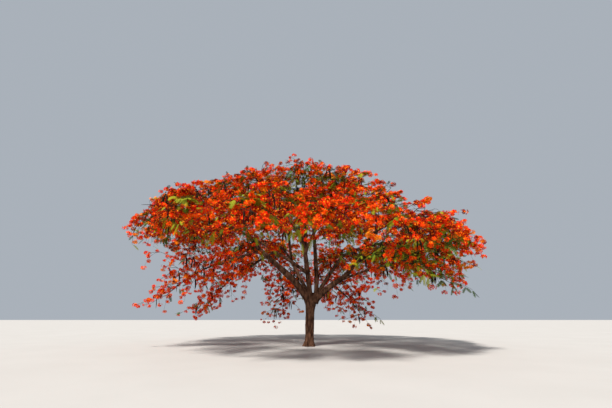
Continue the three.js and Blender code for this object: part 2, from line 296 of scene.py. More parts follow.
def add_mass(name, bough, offset, azimuth, tip, arch, twig_lengths, leaf_share):
    end = bough.curve.at(1)
    tangent = bough.curve.tangent(1)
    lateral = unit(np.cross(UP, tangent))
    foot = end - tangent * SUNK + lateral * offset
    curve = Curve(foot, (foot + tip) / 2 + UP * arch, tip)
    masses.append(SimpleNamespace(
        name=name,
        number=len(masses),
        ring=name.split("_")[0],
        drooping=name.startswith("low"),
        bough=bough,
        curve=curve,
        site=curve.at(SITE_SHARE),
        outward=polar(azimuth, 1, 0),
        twig_lengths=twig_lengths,
        leaf_share=leaf_share,
        leafy=leaf_share > LEAFY_FROM,
        droop=max(0.0, curve.at(0.5)[2] - tip[2]) / 1000,
        stem_radius=bough.radii[1] * (STEM_ALONE if offset == 0 else STEM_PAIRED),
    ))


layout = seeded(11)


def add_ring(name, boughs, first, each, fan, foot, tip, arch, lengths, radii, leaves):
    for i in range(boughs):
        azimuth = first + 360 / boughs * i + layout(*BOUGH_TURNS)
        end = under_top(azimuth, foot[0] * layout(*FOOT_REACH), foot[1] + layout(*HEIGHTS_VARY))
        rise = (under_top(azimuth, *tip)[2] - end[2] + 2 * arch) / (tip[0] - foot[0])
        bough = add_bough(f"{name}_bough_{i + 1}", azimuth, end, rise, radii)
        for k in range(each):
            side = k - (each - 1) / 2
            way = azimuth + fan * side
            mass_tip = under_top(way, tip[0] * layout(*TIP_REACH), tip[1] + layout(*HEIGHTS_VARY))
            mass_name = f"{name}_foliage_{i * each + k + 1}"
            offset = side * (radii[1] + STEM_GAP)
            add_mass(mass_name, bough, offset, way, mass_tip, arch, lengths, leaves)


def add_drooping(number, azimuth, foot, tip, leaves):
    end = polar(azimuth, *foot)
    bough = add_bough(f"low_bough_{number}", azimuth, end, DROOP_RISE, DROOP_BOUGH_RADII)
    mass_tip = polar(azimuth, *tip)
    name = f"low_foliage_{number}"
    add_mass(name, bough, 0, azimuth, mass_tip, DROOP_ARCH, DROOP_TWIG_LENGTHS, leaves)


# What the source grows on each mass's stem.
TWIGS_EACH = 5
TWIG_RADIUS = 15
STEM_END_RADIUS = 30
TWIG_SHARES = (0.2, 0.92)
TWIG_TURNS = (70, 36)  # degrees away from the stem, at its foot and at its tip
TWIG_TURNS_VARY = (-9, 9)
TWIG_RISE = (-0.12, 0.42)
TWIG_SIZES = (0.85, 1.1)
TWIG_ARCH = 0.1
SPRAY_TURNS, TIP_SPRAY_TURNS = (40, 80), (-15, 15)
SPRAY_RISE = (-0.2, 0.2)
SPRAY_SIZES = (0.85, 1.15)
SPRAY_SUNK = 80
SPRAYS = ((0.5, 1), (1, -1))  # share and side on a twig
STEM_SPRAYS = ((0.4, 1), (0.7, 1), (1, 1))
POD_CHANCE = 0.08
POD_AT = 0.8  # of the way to a spray
CELL_MARGIN = 12
CROWDING = 0.3
LIMB_MARGIN = 70
LIMB_SAMPLES = 14
TRIAL_SHARES = np.linspace(0.25, 1, 4)  # the shares of a trial curve that have to fit
TRIAL_SIZES = (1, 0.8, 0.62)
LOWEST_LEAF = 700
# How far out the finer growth and its single sprigs reach, as a share of the crown's radius, how that grows
# to the left, and the farthest left.
FINER_REACH = 0.945
SPRIG_REACH = 0.99
WIDER_LEFT = 0.000003
LEFTMOST = -9420
MASS_SEED, FINER_SEED, STRAND_SEED, SPRIG_SEED, DRESS_SEED = 101, 501, 701, 801, 901


def lay_out_spaces():
    """Each mass gets the planes between its site and the others', and the stretches of the other limbs."""
    sites = np.array([mass.site for mass in masses])
    samples = [limb.curve.at(np.linspace(0, 1, LIMB_SAMPLES + 1)) for limb in limbs]
    starts = np.concatenate([rows[:-1] for rows in samples])
    ways = np.concatenate([np.diff(rows, axis=0) for rows in samples])
    shares = np.arange(LIMB_SAMPLES) / LIMB_SAMPLES
    radii = np.concatenate([lerp(*limb.radii, shares) for limb in limbs])
    owners = np.repeat(np.arange(len(limbs)), LIMB_SAMPLES)
    for mass in masses:
        others = np.delete(sites, mass.number, axis=0)
        normals = unit_rows(others - mass.site)
        middles = (others + mass.site) / 2
        mass.planes = normals, np.einsum("ij,ij->i", normals, middles)
        kept = owners != limbs.index(mass.bough)
        mass.stretches = starts[kept], ways[kept], radii[kept]


# The finer growth keeps this far below the crown's top, farther at the left front of its rim, and rises a
# little over it at the right front. On it lie single hills and dents, and soft lumps all over.
UNDER_TOP = 20
UNDER_RIM = 200
UNDER_LEFT_FRONT = 1100
OVER_RIGHT_FRONT = 480
HILLS = (  # middle, radius and height
    (-9100, -3200, 900, 650),
    (-7600, -4200, 1000, -500),
    (-5500, -5600, 900, 700),
    (-3900, -3600, 1400, -650),
    (-2500, -5000, 1500, -300),
    (-1500, -2800, 1000, 700),
    (500, -3000, 1000, -250),
    (4600, -2500, 1000, -250),
    (5800, -5200, 900, 350),
)
LUMPS = 130
LUMP_WIDTH = 420


def lowered_top(points):
    """How high the finer growth reaches."""
    x, y = points[:, 0], points[:, 1]
    front, left, right = (np.clip(way / CROWN_RADIUS, 0, 1) for way in (-y, -x, x))
    share = crown_share(points)
    below = UNDER_TOP + UNDER_RIM * share ** 4 * (1 - right) + UNDER_LEFT_FRONT * left * front * share ** 8
    below = below - OVER_RIGHT_FRONT * right * front
    for middle_x, middle_y, radius, height in HILLS:
        below = below - height * np.exp(-((x - middle_x) ** 2 + (y - middle_y) ** 2) / radius ** 2)
    lumps = np.sin(x / LUMP_WIDTH + 1.3) * np.sin(y / LUMP_WIDTH) + np.sin((x + y) / LUMP_WIDTH * 1.9)
    return crown_top(points) - below + LUMPS * lumps


def in_space(points, mass, reach=None):
    """Whether each point is in the mass's own space: the source's, or for finer growth with its own reach."""
    points = np.atleast_2d(points)
    normals, offsets = mass.planes
    x, z = points[:, 0], points[:, 2]
    inside = (points @ normals.T - offsets < -CELL_MARGIN).all(axis=1) & (z >= LOWEST_LEAF)
    if reach is None:
        return inside & (z <= crown_top(points)) & (crown_share(points) <= 1)
    inside &= (z <= lowered_top(points)) & (x > LEFTMOST)
    return inside & (crown_share(points) <= reach - WIDER_LEFT * x)


def clear_of_limbs(points, mass):
    starts, ways, radii = mass.stretches
    gaps = points[:, None, :] - starts
    along = np.clip((gaps * ways).sum(-1) / (ways * ways).sum(-1), 0, 1)
    off = np.linalg.norm(gaps - along[..., None] * ways, axis=-1)
    return (off >= radii + LIMB_MARGIN).all(axis=1)


def fits(points, mass, reach=None):
    return in_space(points, mass, reach).all() and clear_of_limbs(points, mass).all()


def arched(start, way, arch):
    """An arched curve along a way, as a function of how much shorter it is made."""

    def curve_of(shorter):
        end = start + way * shorter
        return Curve(start, (start + end) / 2 + UP * arch * shorter, end)

    return curve_of


def twig_curve(mass, share, side, draw, rise=TWIG_RISE):
    """The source's rule for a twig on a mass's stem."""
    turn = side * lerp(*TWIG_TURNS, share)
    along = turned(mass.outward, turn + draw(*TWIG_TURNS_VARY))
    along[2] = draw(*rise) - mass.droop * 0.35
    length = lerp(*mass.twig_lengths, share) * draw(*TWIG_SIZES)
    return arched(mass.curve.at(share), along * length, length * TWIG_ARCH)


def longest_fit(curve_of, mass, trials=TRIAL_SIZES, reach=None):
    """The longest of the trial curves that fits in the mass's space, or None."""
    return next((c for c in map(curve_of, trials) if fits(c.at(TRIAL_SHARES), mass, reach)), None)


def spray_on(mass, curve, share, side, draw):
    at_tip = share == 1
    turn = draw(*TIP_SPRAY_TURNS) if at_tip else side * draw(*SPRAY_TURNS)
    along = turned(curve.tangent(share), turn)
    along[2] = along[2] * 0.4 + draw(*SPRAY_RISE) - mass.droop * 0.25
    return SimpleNamespace(
        root=curve.at(share),
        carrier=curve,
        share_on=share,
        along=unit(along),
        size=draw(*SPRAY_SIZES),
        sunk=SPRAY_SUNK if at_tip else 0,
        is_leaf=draw() < mass.leaf_share,
    )


def spray_shape(spray, smaller):
    """The room of a spray: its middle, its size and the corners that have to fit."""
    full = LEAF_SPRAY if spray.is_leaf else BLOOM_SPRAY
    sizes = np.array(full) * spray.size * smaller
    along = spray.along
    centre = spray.root + along * (sizes[0] / 2 - spray.sunk)
    side = unit(np.cross(UP, along))
    thin = np.cross(along, side)
    corners = [centre + along * sizes[0] * share for share in (-0.25, 0, 0.5)]
    for half in (-0.5, 0.5):
        corners.append(centre + side * sizes[1] * half)
        corners.append(centre + thin * sizes[2] * half)
    return SimpleNamespace(**vars(spray), centre=centre, sizes=sizes, corners=np.array(corners))


def crowded(one, other, crowding):
    gap = one.centre - other.centre
    level = (one.sizes[0] + other.sizes[0]) * crowding
    upright = (one.sizes[2] + other.sizes[2]) * crowding
    return math.sqrt((gap[0] / level) ** 2 + (gap[1] / level) ** 2 + (gap[2] / upright) ** 2) < 1


def settled_spray(mass, spray, sprays, trial_sizes, crowding, reach=None):
    """The largest trial of a spray that fits and doesn't crowd the others, or None."""
    for smaller in trial_sizes:
        trial = spray_shape(spray, smaller)
        if not any(crowded(trial, other, crowding) for other in sprays) and fits(trial.corners, mass, reach):
            return trial
    return None


def pod_fits(root, mass):
    top = root - UP * (POD[0] / 2 - TWIG_RADIUS)
    return fits(np.array([top - UP * POD[0] * share for share in (0.1, 0.5)]), mass)


def grow_mass(mass):
    """The twigs, sprays and pods of the source."""
    draw = seeded(MASS_SEED + mass.number)
    mass.twigs, mass.sprays, mass.pods = [], [], []

    def add_spray(curve, share, side):
        spray = spray_on(mass, curve, share, side, draw)
        settled = settled_spray(mass, spray, mass.sprays, TRIAL_SIZES, CROWDING)
        if settled:
            mass.sprays.append(settled)
        root = curve.at(share * POD_AT)
        if draw() < POD_CHANCE and pod_fits(root, mass):
            mass.pods.append(root)

    for j, share in enumerate(evenly(*TWIG_SHARES, TWIGS_EACH)):
        curve = longest_fit(twig_curve(mass, share, alternate(j), draw), mass)
        if curve:
            mass.twigs.append(curve)
            for place in SPRAYS:
                add_spray(curve, *place)
    for place in STEM_SPRAYS:
        add_spray(mass.curve, *place)


add_trunk()
add_main_limbs()
for ring in RINGS:
    add_ring(*ring)
for count, plan in enumerate(DROOPING):
    add_drooping(count + 1, *plan)
lay_out_spaces()
for mass in masses:
    grow_mass(mass)

# The same rule carried on: between the twigs of the source come finer ones with smaller sprays, side twigs on
# them, twigs on the outer stretch of each bough, thin strands that hang down, strung with small heads, and
# single long sprigs that make the crown's outline ragged.
FINE_TWIG_TRIALS = (1.4, 1.1, 0.8, 0.55)
FINE_TRIAL_SIZES = (0.62, 0.5, 0.4)
FINE_SPRAYS = ((0.3, 1), (0.65, -1), (1, 1))  # share and side
FINE_STEM_SPRAYS = ((0.2, 1), (0.3, -1), (0.5, 1), (0.6, -1), (0.8, 1), (0.9, -1))
FINE_LEAF_SHARE = 0.65  # of the mass's own share of leaves
MORE_LEAFY = 0.6  # of the blossom of the leafy masses that is leaves in the finer growth
MORE_SPRAYS = ((0.25, -1), (0.75, -1), (0.9, 1))  # on the twigs of the source
MORE_TWIGS = ((0.4, 1), (0.8, -1))
SIDE_TWIGS = ((0.35, 1), (0.7, -1))
SIDE_TWIG_TURNS = (40, 75)
SIDE_TWIG_RISE = (-0.5, 0.7)
SIDE_TWIG_LENGTH = 0.65  # of the twig that it grows on
SIDE_TWIG_SIZES = (0.85, 1.2)
BOUGH_TWIG_SHARES = (0.25, 0.95)
BOUGH_TWIG_LENGTHS = (700, 1300)
BOUGH_TWIG_TURNS = (25, 85)
BOUGH_TWIG_ARCH = 0.12
BOUGH_RISE = (-0.7, 0.9)
LEAFY_BOUGH_SHARES = (0.6, 0.95)  # the boughs of the leafy low masses stay in sight
LEAFY_BOUGH_RISE = (0.5, 1.3)
# How much less the finer growth hangs at the very front and on the right, so that the limbs show.
FRONT_HELD_UP = 0.75
RIGHT_HELD_UP = 0.2
RIGHT_FROM = -0.35
MORE_LEFT = 0.4  # how many more strands the left side has, where the crown is deeper
BOUGH_CARRIES = 12  # of a drooping mass's strands, against one for each twig
STRAND_ON = (0.3, 1)
STRAND_TURNS = (-80, 80)
STRAND_LIFT = 60
STRAND_TRIALS = (1, 0.75, 0.5)
SPRIG_ON = (0.6, 1)
SPRIG_TURNS = (-50, 50)
SPRIG_ARCH = 120
SPRIG_RISE = (-0.5, 0.3)
SPRIG_LENGTHS = (1400, 2900)
SPRIG_TRIALS = (1, 0.75, 0.55, 0.4, 0.3)

# What the masses of each ring have. The twigs on a stem rise in turn by the given slopes.
UPPER_RULES = dict(
    twigs=18,
    twig_shares=(0.02, 0.97),
    rises=((-1.3, -0.45), (-0.12, 0.42), (-0.7, -0.2), (0.4, 1.0)),
    crowding=0.34,
    strand_reach=(250, 800),
    strand_heads_every=240,
    strand_head_size=1,
    sprig_size=1,
    shoots_every=229,
    shoots_abreast=2,
    head_size=1,
    blossom_shares=(0.56, 0.25, 0.07, 0.12),
    pod_twigs=0.34,
)
LOW_RULES = dict(
    twigs=8,
    twig_shares=(0.02, 0.55),
    rises=((0.3, 0.9), (0.6, 1.5)),
    crowding=0.5,
    strand_reach=(300, 1300),
    strand_heads_every=290,
    strand_head_size=1.08,
    sprig_size=0.5,
    shoots_every=410,
    shoots_abreast=1,
    head_size=0.98,
    blossom_shares=(0.66, 0.24, 0.05, 0.05),
    pod_twigs=0.5,
)


def ring_rules(rules, bough_twigs, lower_by, strands, strand_drops, sprigs):
    """A ring's rules. Its finer growth hangs below the sprays of the source by lower_by at most."""
    return SimpleNamespace(
        **rules,
        bough_twigs=bough_twigs,
        lower_by=lower_by,
        strands=strands,
        strand_drops=strand_drops,
        sprigs=sprigs,
    )


RULES = {
    "rim": ring_rules(UPPER_RULES, 8, 1300, 26, (700, 2000), 12),
    "shoulder": ring_rules(UPPER_RULES, 6, 900, 14, (600, 1800), 2),
    "top": ring_rules(UPPER_RULES, 3, 700, 3, (300, 700), 1),
    "low": ring_rules(LOW_RULES, 15, 200, 16, (500, 1800), 3),
}


def hanging(mass):
    """How freely a mass's finer growth hangs: less at the front of the crown and on its right."""
    if mass.drooping:
        return 1
    right = max(0.0, mass.outward[0] - RIGHT_FROM) / (1 - RIGHT_FROM)
    return 1 - FRONT_HELD_UP * max(0.0, -mass.outward[1]) ** 2 - RIGHT_HELD_UP * right


def side_twig_curve(mass, twig, share, side, draw):
    along = turned(twig.tangent(share), side * draw(*SIDE_TWIG_TURNS))
    along[2] = draw(*SIDE_TWIG_RISE) - mass.droop * 0.3
    length = np.linalg.norm(twig.at(1) - twig.at(0)) * SIDE_TWIG_LENGTH * draw(*SIDE_TWIG_SIZES)
    return arched(twig.at(share), unit(along) * length, length * TWIG_ARCH)


def bough_twig_curve(mass, share, side, draw):
    bough = mass.bough.curve
    along = turned(unit(bough.tangent(share) * (1, 1, 0.3)), side * draw(*BOUGH_TWIG_TURNS))
    along[2] = draw(*(LEAFY_BOUGH_RISE if mass.leafy else BOUGH_RISE))
    length = draw(*BOUGH_TWIG_LENGTHS)
    return arched(bough.at(share), along * length, length * BOUGH_TWIG_ARCH)


def grow_finer(mass):
    draw = seeded(FINER_SEED + mass.number)
    rules = mass.rules
    mass.fine_twigs, mass.fine_sprays = [], []
    lowest = min(spray.corners[:, 2].min() for spray in mass.sprays)
    lowest -= rules.lower_by * hanging(mass)

    def add_spray(curve, share, side):
        spray = spray_on(mass, curve, share, side, draw)
        if mass.leafy:
            spray.is_leaf |= draw() < MORE_LEAFY
        elif spray.is_leaf and draw() > FINE_LEAF_SHARE:
            spray.is_leaf = False
        others = mass.sprays + mass.fine_sprays
        settled = settled_spray(mass, spray, others, FINE_TRIAL_SIZES, rules.crowding, FINER_REACH)
        if settled and settled.corners[:, 2].min() > lowest:
            mass.fine_sprays.append(settled)

    def add_sprays(curve, places):
        for place in places:
            add_spray(curve, *place)

    def add_twig_with_sprays(carrier, share_on, curve_of):
        curve = longest_fit(curve_of, mass, FINE_TWIG_TRIALS, FINER_REACH)
        if curve:
            curve.carrier, curve.share_on = carrier, share_on
            mass.fine_twigs.append(curve)
            add_sprays(curve, FINE_SPRAYS)
        return curve

    def add_side_twigs(curve, places):
        for share, side in places:
            add_twig_with_sprays(curve, share, side_twig_curve(mass, curve, share, side, draw))

    for j, share in enumerate(evenly(*rules.twig_shares, rules.twigs)):
        rise = rules.rises[j // 2 % len(rules.rises)]
        curve = add_twig_with_sprays(None, 0, twig_curve(mass, share, -alternate(j), draw, rise))
        if curve:
            add_side_twigs(curve, SIDE_TWIGS)
    bough_shares = LEAFY_BOUGH_SHARES if mass.leafy else BOUGH_TWIG_SHARES
    for j, share in enumerate(evenly(*bough_shares, rules.bough_twigs)):
        add_twig_with_sprays(None, 0, bough_twig_curve(mass, share, alternate(j), draw))
    for curve in mass.twigs:
        add_sprays(curve, MORE_SPRAYS)
        if not mass.drooping:
            add_side_twigs(curve, MORE_TWIGS)
    add_sprays(mass.curve, FINE_STEM_SPRAYS)


def grow_strands(mass):
    draw = seeded(STRAND_SEED + mass.number)
    rules = mass.rules
    mass.strands = []
    carriers = mass.twigs + mass.fine_twigs + [mass.curve]
    if mass.drooping:
        carriers += [mass.bough.curve] * BOUGH_CARRIES
    for _ in range(round(rules.strands * (1 + MORE_LEFT * max(0.0, -mass.outward[0])))):
        carrier = carriers[int(draw() * len(carriers))]
        share = draw(*STRAND_ON)
        start = carrier.at(share)
        level = turned(mass.outward, draw(*STRAND_TURNS)) * draw(*rules.strand_reach)
        drop = UP * draw(*rules.strand_drops) * hanging(mass)

        def curve_of(shorter):
            end = start + (level - drop) * shorter
            return Curve(start, start + level * shorter * 0.7 + UP * STRAND_LIFT, end)

        curve = longest_fit(curve_of, mass, STRAND_TRIALS, FINER_REACH)
        if curve:
            curve.carrier, curve.share_on = carrier, share
            mass.strands.append(curve)


def grow_sprigs(mass):
    draw = seeded(SPRIG_SEED + mass.number)
    for _ in range(mass.rules.sprigs):
        start = mass.curve.at(draw(*SPRIG_ON))
        way = turned(mass.outward, draw(*SPRIG_TURNS))
        way = unit(way + UP * (draw(*SPRIG_RISE) - 0.3 * mass.droop))
        way = way * draw(*SPRIG_LENGTHS) * mass.rules.sprig_size
        curve = longest_fit(arched(start, way, SPRIG_ARCH), mass, SPRIG_TRIALS, SPRIG_REACH)
        if curve:
            mass.strands.append(curve)


for mass in masses:
    mass.rules = RULES[mass.ring]
    grow_finer(mass)
    grow_strands(mass)
    grow_sprigs(mass)

# What a spray holds. Lengths in millimetres.
SPINE_SHARE = 0.84  # of a spray's length
SPINE_BEND = (0, 0.2)
SHOOTS_FROM = 0.2
SHOOT_SPREAD = 0.42  # of a spray's width and thickness
SHOOT_LIFTS = ((0.2, 0.95), (-0.95, 0.1))  # towards the spray's upper and lower side
SHOOT_TURNS = (35, 75)
SHOOT_REACH = (0.75, 1.05)
LEAST_ROOM = 0.3  # for a shoot at the ends of a spray
LEAF_SPRAY_ROOM = 260
HEAD_RADIUS = 128  # of the flat dome that the flowers of a head sit on
HEAD_HEIGHT = 80
HEAD_SIZES = (0.78, 1.2)
FLOWER_REACH = (0.3, 1.2)  # how far from the head's middle a flower sits, as a share of the dome
FLOWER_RADIUS = 84
FLOWER_SIZES = (0.8, 1.2)
FLOWER_TILT = 0.16
FLOWERS_EACH = 7
FLOWERS_KEPT = 0.93
STALK_WIDTH = 13
LEAF_LENGTH = 350
LEAF_SIZES = (0.7, 1.15)
LEAF_DROOPS = (0.1, 0.5)
LEAF_ROLL = 0.35
LEAF_SHARE_OUT = 0.98  # of the crown's radius
LEAF_FAN = (-30, 30)
LEAF_FAN_VARY = (-12, 12)
LEAF_TURNS = (-60, 60)
LEAF_ON_SHOOT = 0.42
LEAF_WHERE_DROOPING = 0.3  # of that, on the masses that droop
FLOWERING_LEAF_SPRAYS = 0.6  # the share of shoots on the leaf sprays of those masses that flower
YELLOW_SPRAYS = 0.6
STRAND_FROM = 0.3
STRAND_BARE = 0.15
STALK_REACH = (30, 150)
STALK_DROP = (0, 60)
LEAF_ON_STRAND = 0.12
SOURCE_TWIG_USED = 0.8
SINGLE_PODS = 0.6
PODS_TOGETHER = 3
PODS_OF_SOURCE = 4
POD_SIZES = (0.75, 1.15)

# Finer wood: radii at its foot and its tip, sides and segments. A stem's radii are its own.
STEM_SHAPE = 8, 12
SOURCE_TWIG = (TWIG_RADIUS * 1.35, 8), 5, 4
FINE_TWIG = (TWIG_RADIUS, 7), 4, 3
SPINE = (11, 5), 4, 2
SHOOT = (6, 3), 3, 1
STRAND = (9, 4), 3, 4
HEAD_STALK = (4, 3), 3, 1

# deep_red is a darker tone dealt at random, and also the painted shade for heads deep in the crown and under
# a tier.
BLOSSOM_COLOURS = ("scarlet", "orange_red", "orange", "deep_red")
LEAF_COLOURS = ("green", "yellow_green")
OWN_COLOUR = 0.16  # the share of heads that don't take their spray's colour
# Painted shade deep in the crown: a head's chance of being made deep red grows from this depth below the
# crown's top, over this depth, up to this chance.
PAINTED_SHADE_INSIDE = 0.3
PAINTED_SHADE_BELOW = 700
PAINTED_SHADE_DEPTH = 2200
# The blossom lies in tiers that follow the crown's top, with sparse stretches between and painted shade on
# their undersides, where heads are more often deep red.
TIER_HEIGHT = 1350
TIER_WAVES = ((0.22, 1900, 0.7), (0.2, 1500, 0.0))  # share of a tier, length and shift along X and along Y
TIER_GAP = (0.62, 0.96)
TIER_UNDERSIDE = 0.36
GAP_BARE = 0.7
GAPS_BELOW = 450
# Painted shade on a tier's underside (from TIER_UNDERSIDE down): this much more chance that a head is made
# deep red.
UNDERSIDE_PAINTED_SHADE = 0.25

twig_list = []  # curve, two radii, sides, segments, mass number
head_list = []  # place, axis, size, colour number, mass number
leaf_list = []  # root, direction, length, droop, colour number, mass number
pod_list = []  # root, length, direction of the bend, mass number


def add_twig(curve, kind, mass):
    twig_list.append((curve, *kind, mass.number))


def dealt_colour(draw, mass):
    """A colour number, as likely as its share in the mass."""
    rest = draw()
    for number, share in enumerate(mass.rules.blossom_shares):
        rest -= share
        if rest < 0:
            return number
    return 0


def share_of_tier(place, below):
    """Where a place lies in its tier, from 0 at the tier's top."""
    waves = [size * math.sin(at / length + shift) for (size, length, shift), at in zip(TIER_WAVES, place)]
    return (below / TIER_HEIGHT + sum(waves)) % 1


def add_head(place, axis, colour, draw, mass, size):
    """A head of blossom, seldom between the tiers; as painted shade, deep red more often the deeper it sits
    and under a tier.
    """
    if draw() < OWN_COLOUR:
        colour = dealt_colour(draw, mass)
    painted_shade_chance, bare = 0, 0
    if not mass.drooping:
        below = crown_top(place) - place[2]
        tier = share_of_tier(place, below)
        # Painted shade: the chance of deep red grows with depth below the crown's top, and more under a tier.
        painted_shade_chance = PAINTED_SHADE_INSIDE * min(1.0, max(0.0, below - PAINTED_SHADE_BELOW) / PAINTED_SHADE_DEPTH)
        if tier > TIER_UNDERSIDE:
            painted_shade_chance += UNDERSIDE_PAINTED_SHADE
        if TIER_GAP[0] < tier < TIER_GAP[1] and below > GAPS_BELOW:
            bare = GAP_BARE
    # Painted shade: a shaded head is made deep red.
    if draw() < painted_shade_chance:
        colour = BLOSSOM_COLOURS.index("deep_red")
    if draw() >= bare:
        head_list.append((place, unit(axis), size * draw(*HEAD_SIZES), colour, mass.number))


def add_leaf(root, way, colour, draw, mass):
    """A leaf, unless it would stand out of the crown."""
    way = unit(way)
    length = LEAF_LENGTH * draw(*LEAF_SIZES)
    droop = draw(*LEAF_DROOPS)
    end = root + way * length - UP * droop * length
    if crown_share(end) < LEAF_SHARE_OUT and end[2] < crown_top(end):
        leaf_list.append((root, way, length, droop, colour, mass.number))


def dress_spray(mass, spray, draw, abreast):
    """A spine with side shoots, one or two at each place, that end in heads of blossom or in leaves."""
    sparse = mass.drooping and not mass.leafy
    length, width, thickness = spray.sizes
    if spray.is_leaf:
        thickness = LEAF_SPRAY_ROOM
    root, along = spray.root, spray.along
    thin = np.cross(along, unit(np.cross(UP, along)))
    end = root + along * length * SPINE_SHARE
    spine = Curve(root, (root + end) / 2 + thin * thickness * draw(*SPINE_BEND), end)
    colour = dealt_colour(draw, mass)
    green = int(draw() < YELLOW_SPRAYS)
    places = max(2, round(length / mass.rules.shoots_every))
    reached = 0
    for k, share in enumerate(evenly(SHOOTS_FROM, 1, places + 1)):
        start, way = spine.at(share), spine.tangent(share)
        room = max(LEAST_ROOM, 1 - abs(2 * share - 1.05) ** 1.8)
        for shoot in range(abreast):
            lift = draw(*SHOOT_LIFTS[(k + shoot) % 2])
            turn = alternate(k) * draw(*SHOOT_TURNS) * alternate(shoot)
            reach = room * draw(*SHOOT_REACH)
            level = turned(way, turn) * width * SHOOT_SPREAD * reach
            tip = start + level + thin * thickness * SHOOT_SPREAD * lift * reach
            if not in_space(tip + UP * HEAD_HEIGHT, mass, FINER_REACH)[0]:
                continue
            reached = share
            add_twig(Curve(start, tip), SHOOT, mass)
            outward = unit(tip - start)
            flowering = sparse and draw() < FLOWERING_LEAF_SPRAYS
            if spray.is_leaf and not flowering:
                for fan in LEAF_FAN:
                    add_leaf(tip, turned(outward, fan + draw(*LEAF_FAN_VARY)), green, draw, mass)
                continue
            # A head faces outward and up, and less up where the mass droops.
            axis = UP * (0.75 - 0.5 * mass.droop) + outward * 0.8 + thin * 0.5 * lift
            add_head(tip, axis, colour, draw, mass, mass.rules.head_size)
            if draw() < LEAF_ON_SHOOT * (LEAF_WHERE_DROOPING if sparse else 1):
                leaf_way = turned(outward, draw(*LEAF_TURNS)) + UP * draw(-0.2, 0.7)
                add_leaf(tip, leaf_way, green, draw, mass)
    if reached:
        add_twig(spine.first_part(reached), SPINE, mass)
        spray.carrier.bears(spray.share_on)


def dress_strand(mass, curve, draw):
    """A thin twig strung with small heads of blossom and a few leaves."""
    rules = mass.rules
    add_twig(curve, STRAND, mass)
    curve.bears(1)
    length = np.linalg.norm(curve.at(1) - curve.at(0))
    colour = dealt_colour(draw, mass)
    places = max(2, round(length / rules.strand_heads_every))
    for share in evenly(STRAND_FROM, 1, places):
        start = curve.at(share)
        if draw() < STRAND_BARE:
            continue
        outward = turned(mass.outward, draw(0, 360))
        tip = start + outward * draw(*STALK_REACH) - UP * draw(*STALK_DROP)
        add_twig(Curve(start, tip), HEAD_STALK, mass)
        if draw() < LEAF_ON_STRAND:
            add_leaf(tip, outward - UP * draw(0.1, 0.8), int(draw() < 0.5), draw, mass)
        else:
            add_head(tip, outward * 0.8 + UP * 0.5, colour, draw, mass, rules.strand_head_size)


def add_pods(root, count, draw, mass):
    for _ in range(count):
        length = POD[0] * draw(*POD_SIZES)
        pod_list.append((root, length, draw(0, 360), mass.number))


def dress_mass(mass):
    draw = seeded(DRESS_SEED + mass.number)
    rules = mass.rules
    add_twig(mass.curve, ((mass.stem_radius, STEM_END_RADIUS * 0.5), *STEM_SHAPE), mass)
    for spray in mass.sprays:
        dress_spray(mass, spray, draw, rules.shoots_abreast)
    for spray in mass.fine_sprays:
        dress_spray(mass, spray, draw, 1)
    for curve in mass.strands:
        dress_strand(mass, curve, draw)
    for curve in mass.twigs:
        curve.bears(SOURCE_TWIG_USED)
        add_twig(curve.first_part(curve.used), SOURCE_TWIG, mass)
    for curve in mass.fine_twigs:
        if curve.used:
            add_twig(curve.first_part(curve.used), FINE_TWIG, mass)
    for root in mass.pods:
        add_pods(root, PODS_OF_SOURCE, draw, mass)
    for curve in mass.twigs + mass.fine_twigs:
        if curve.used and draw() < rules.pod_twigs:
            root = curve.at(draw(0.3, 0.95) * curve.used)
            add_pods(root, 1 if draw() < SINGLE_PODS else PODS_TOGETHER, draw, mass)


for mass in masses:
    dress_mass(mass)


# Meshes from arrays.
def linked(name, data):
    """A new object in the scene."""
    obj = bpy.data.objects.new(name, data)
    bpy.context.scene.collection.objects.link(obj)
    return obj


def mesh_object(name, points, triangles, smooth=False):
    """An object from points in metres and triangles as rows of three point numbers."""
    mesh = bpy.data.meshes.new(name)
    mesh.vertices.add(len(points))
    mesh.vertices.foreach_set("co", np.asarray(points, dtype=np.float32).ravel())
    corners = np.asarray(triangles, dtype=np.int32).ravel()
    mesh.loops.add(len(corners))
    mesh.loops.foreach_set("vertex_index", corners)
    mesh.polygons.add(len(corners) // 3)
    mesh.polygons.foreach_set("loop_start", np.arange(0, len(corners), 3, dtype=np.int32))
    mesh.polygons.foreach_set("use_smooth", np.full(len(corners) // 3, smooth))
    mesh.update(calc_edges=True)
    return linked(name, mesh)


def stacked(parts):
    """One pair of arrays from several pairs of (points, triangles)."""
    counts = np.cumsum([0] + [len(points) for points, _ in parts])
    points = np.concatenate([points for points, _ in parts])
    triangles = np.concatenate([tris + first for (_, tris), first in zip(parts, counts)])
    return points, triangles


def repeated(triangles, count, step):
    """The triangles several times, each time so many point numbers further on."""
    return (triangles + np.arange(count)[:, None, None] * step).reshape(-1, 3)


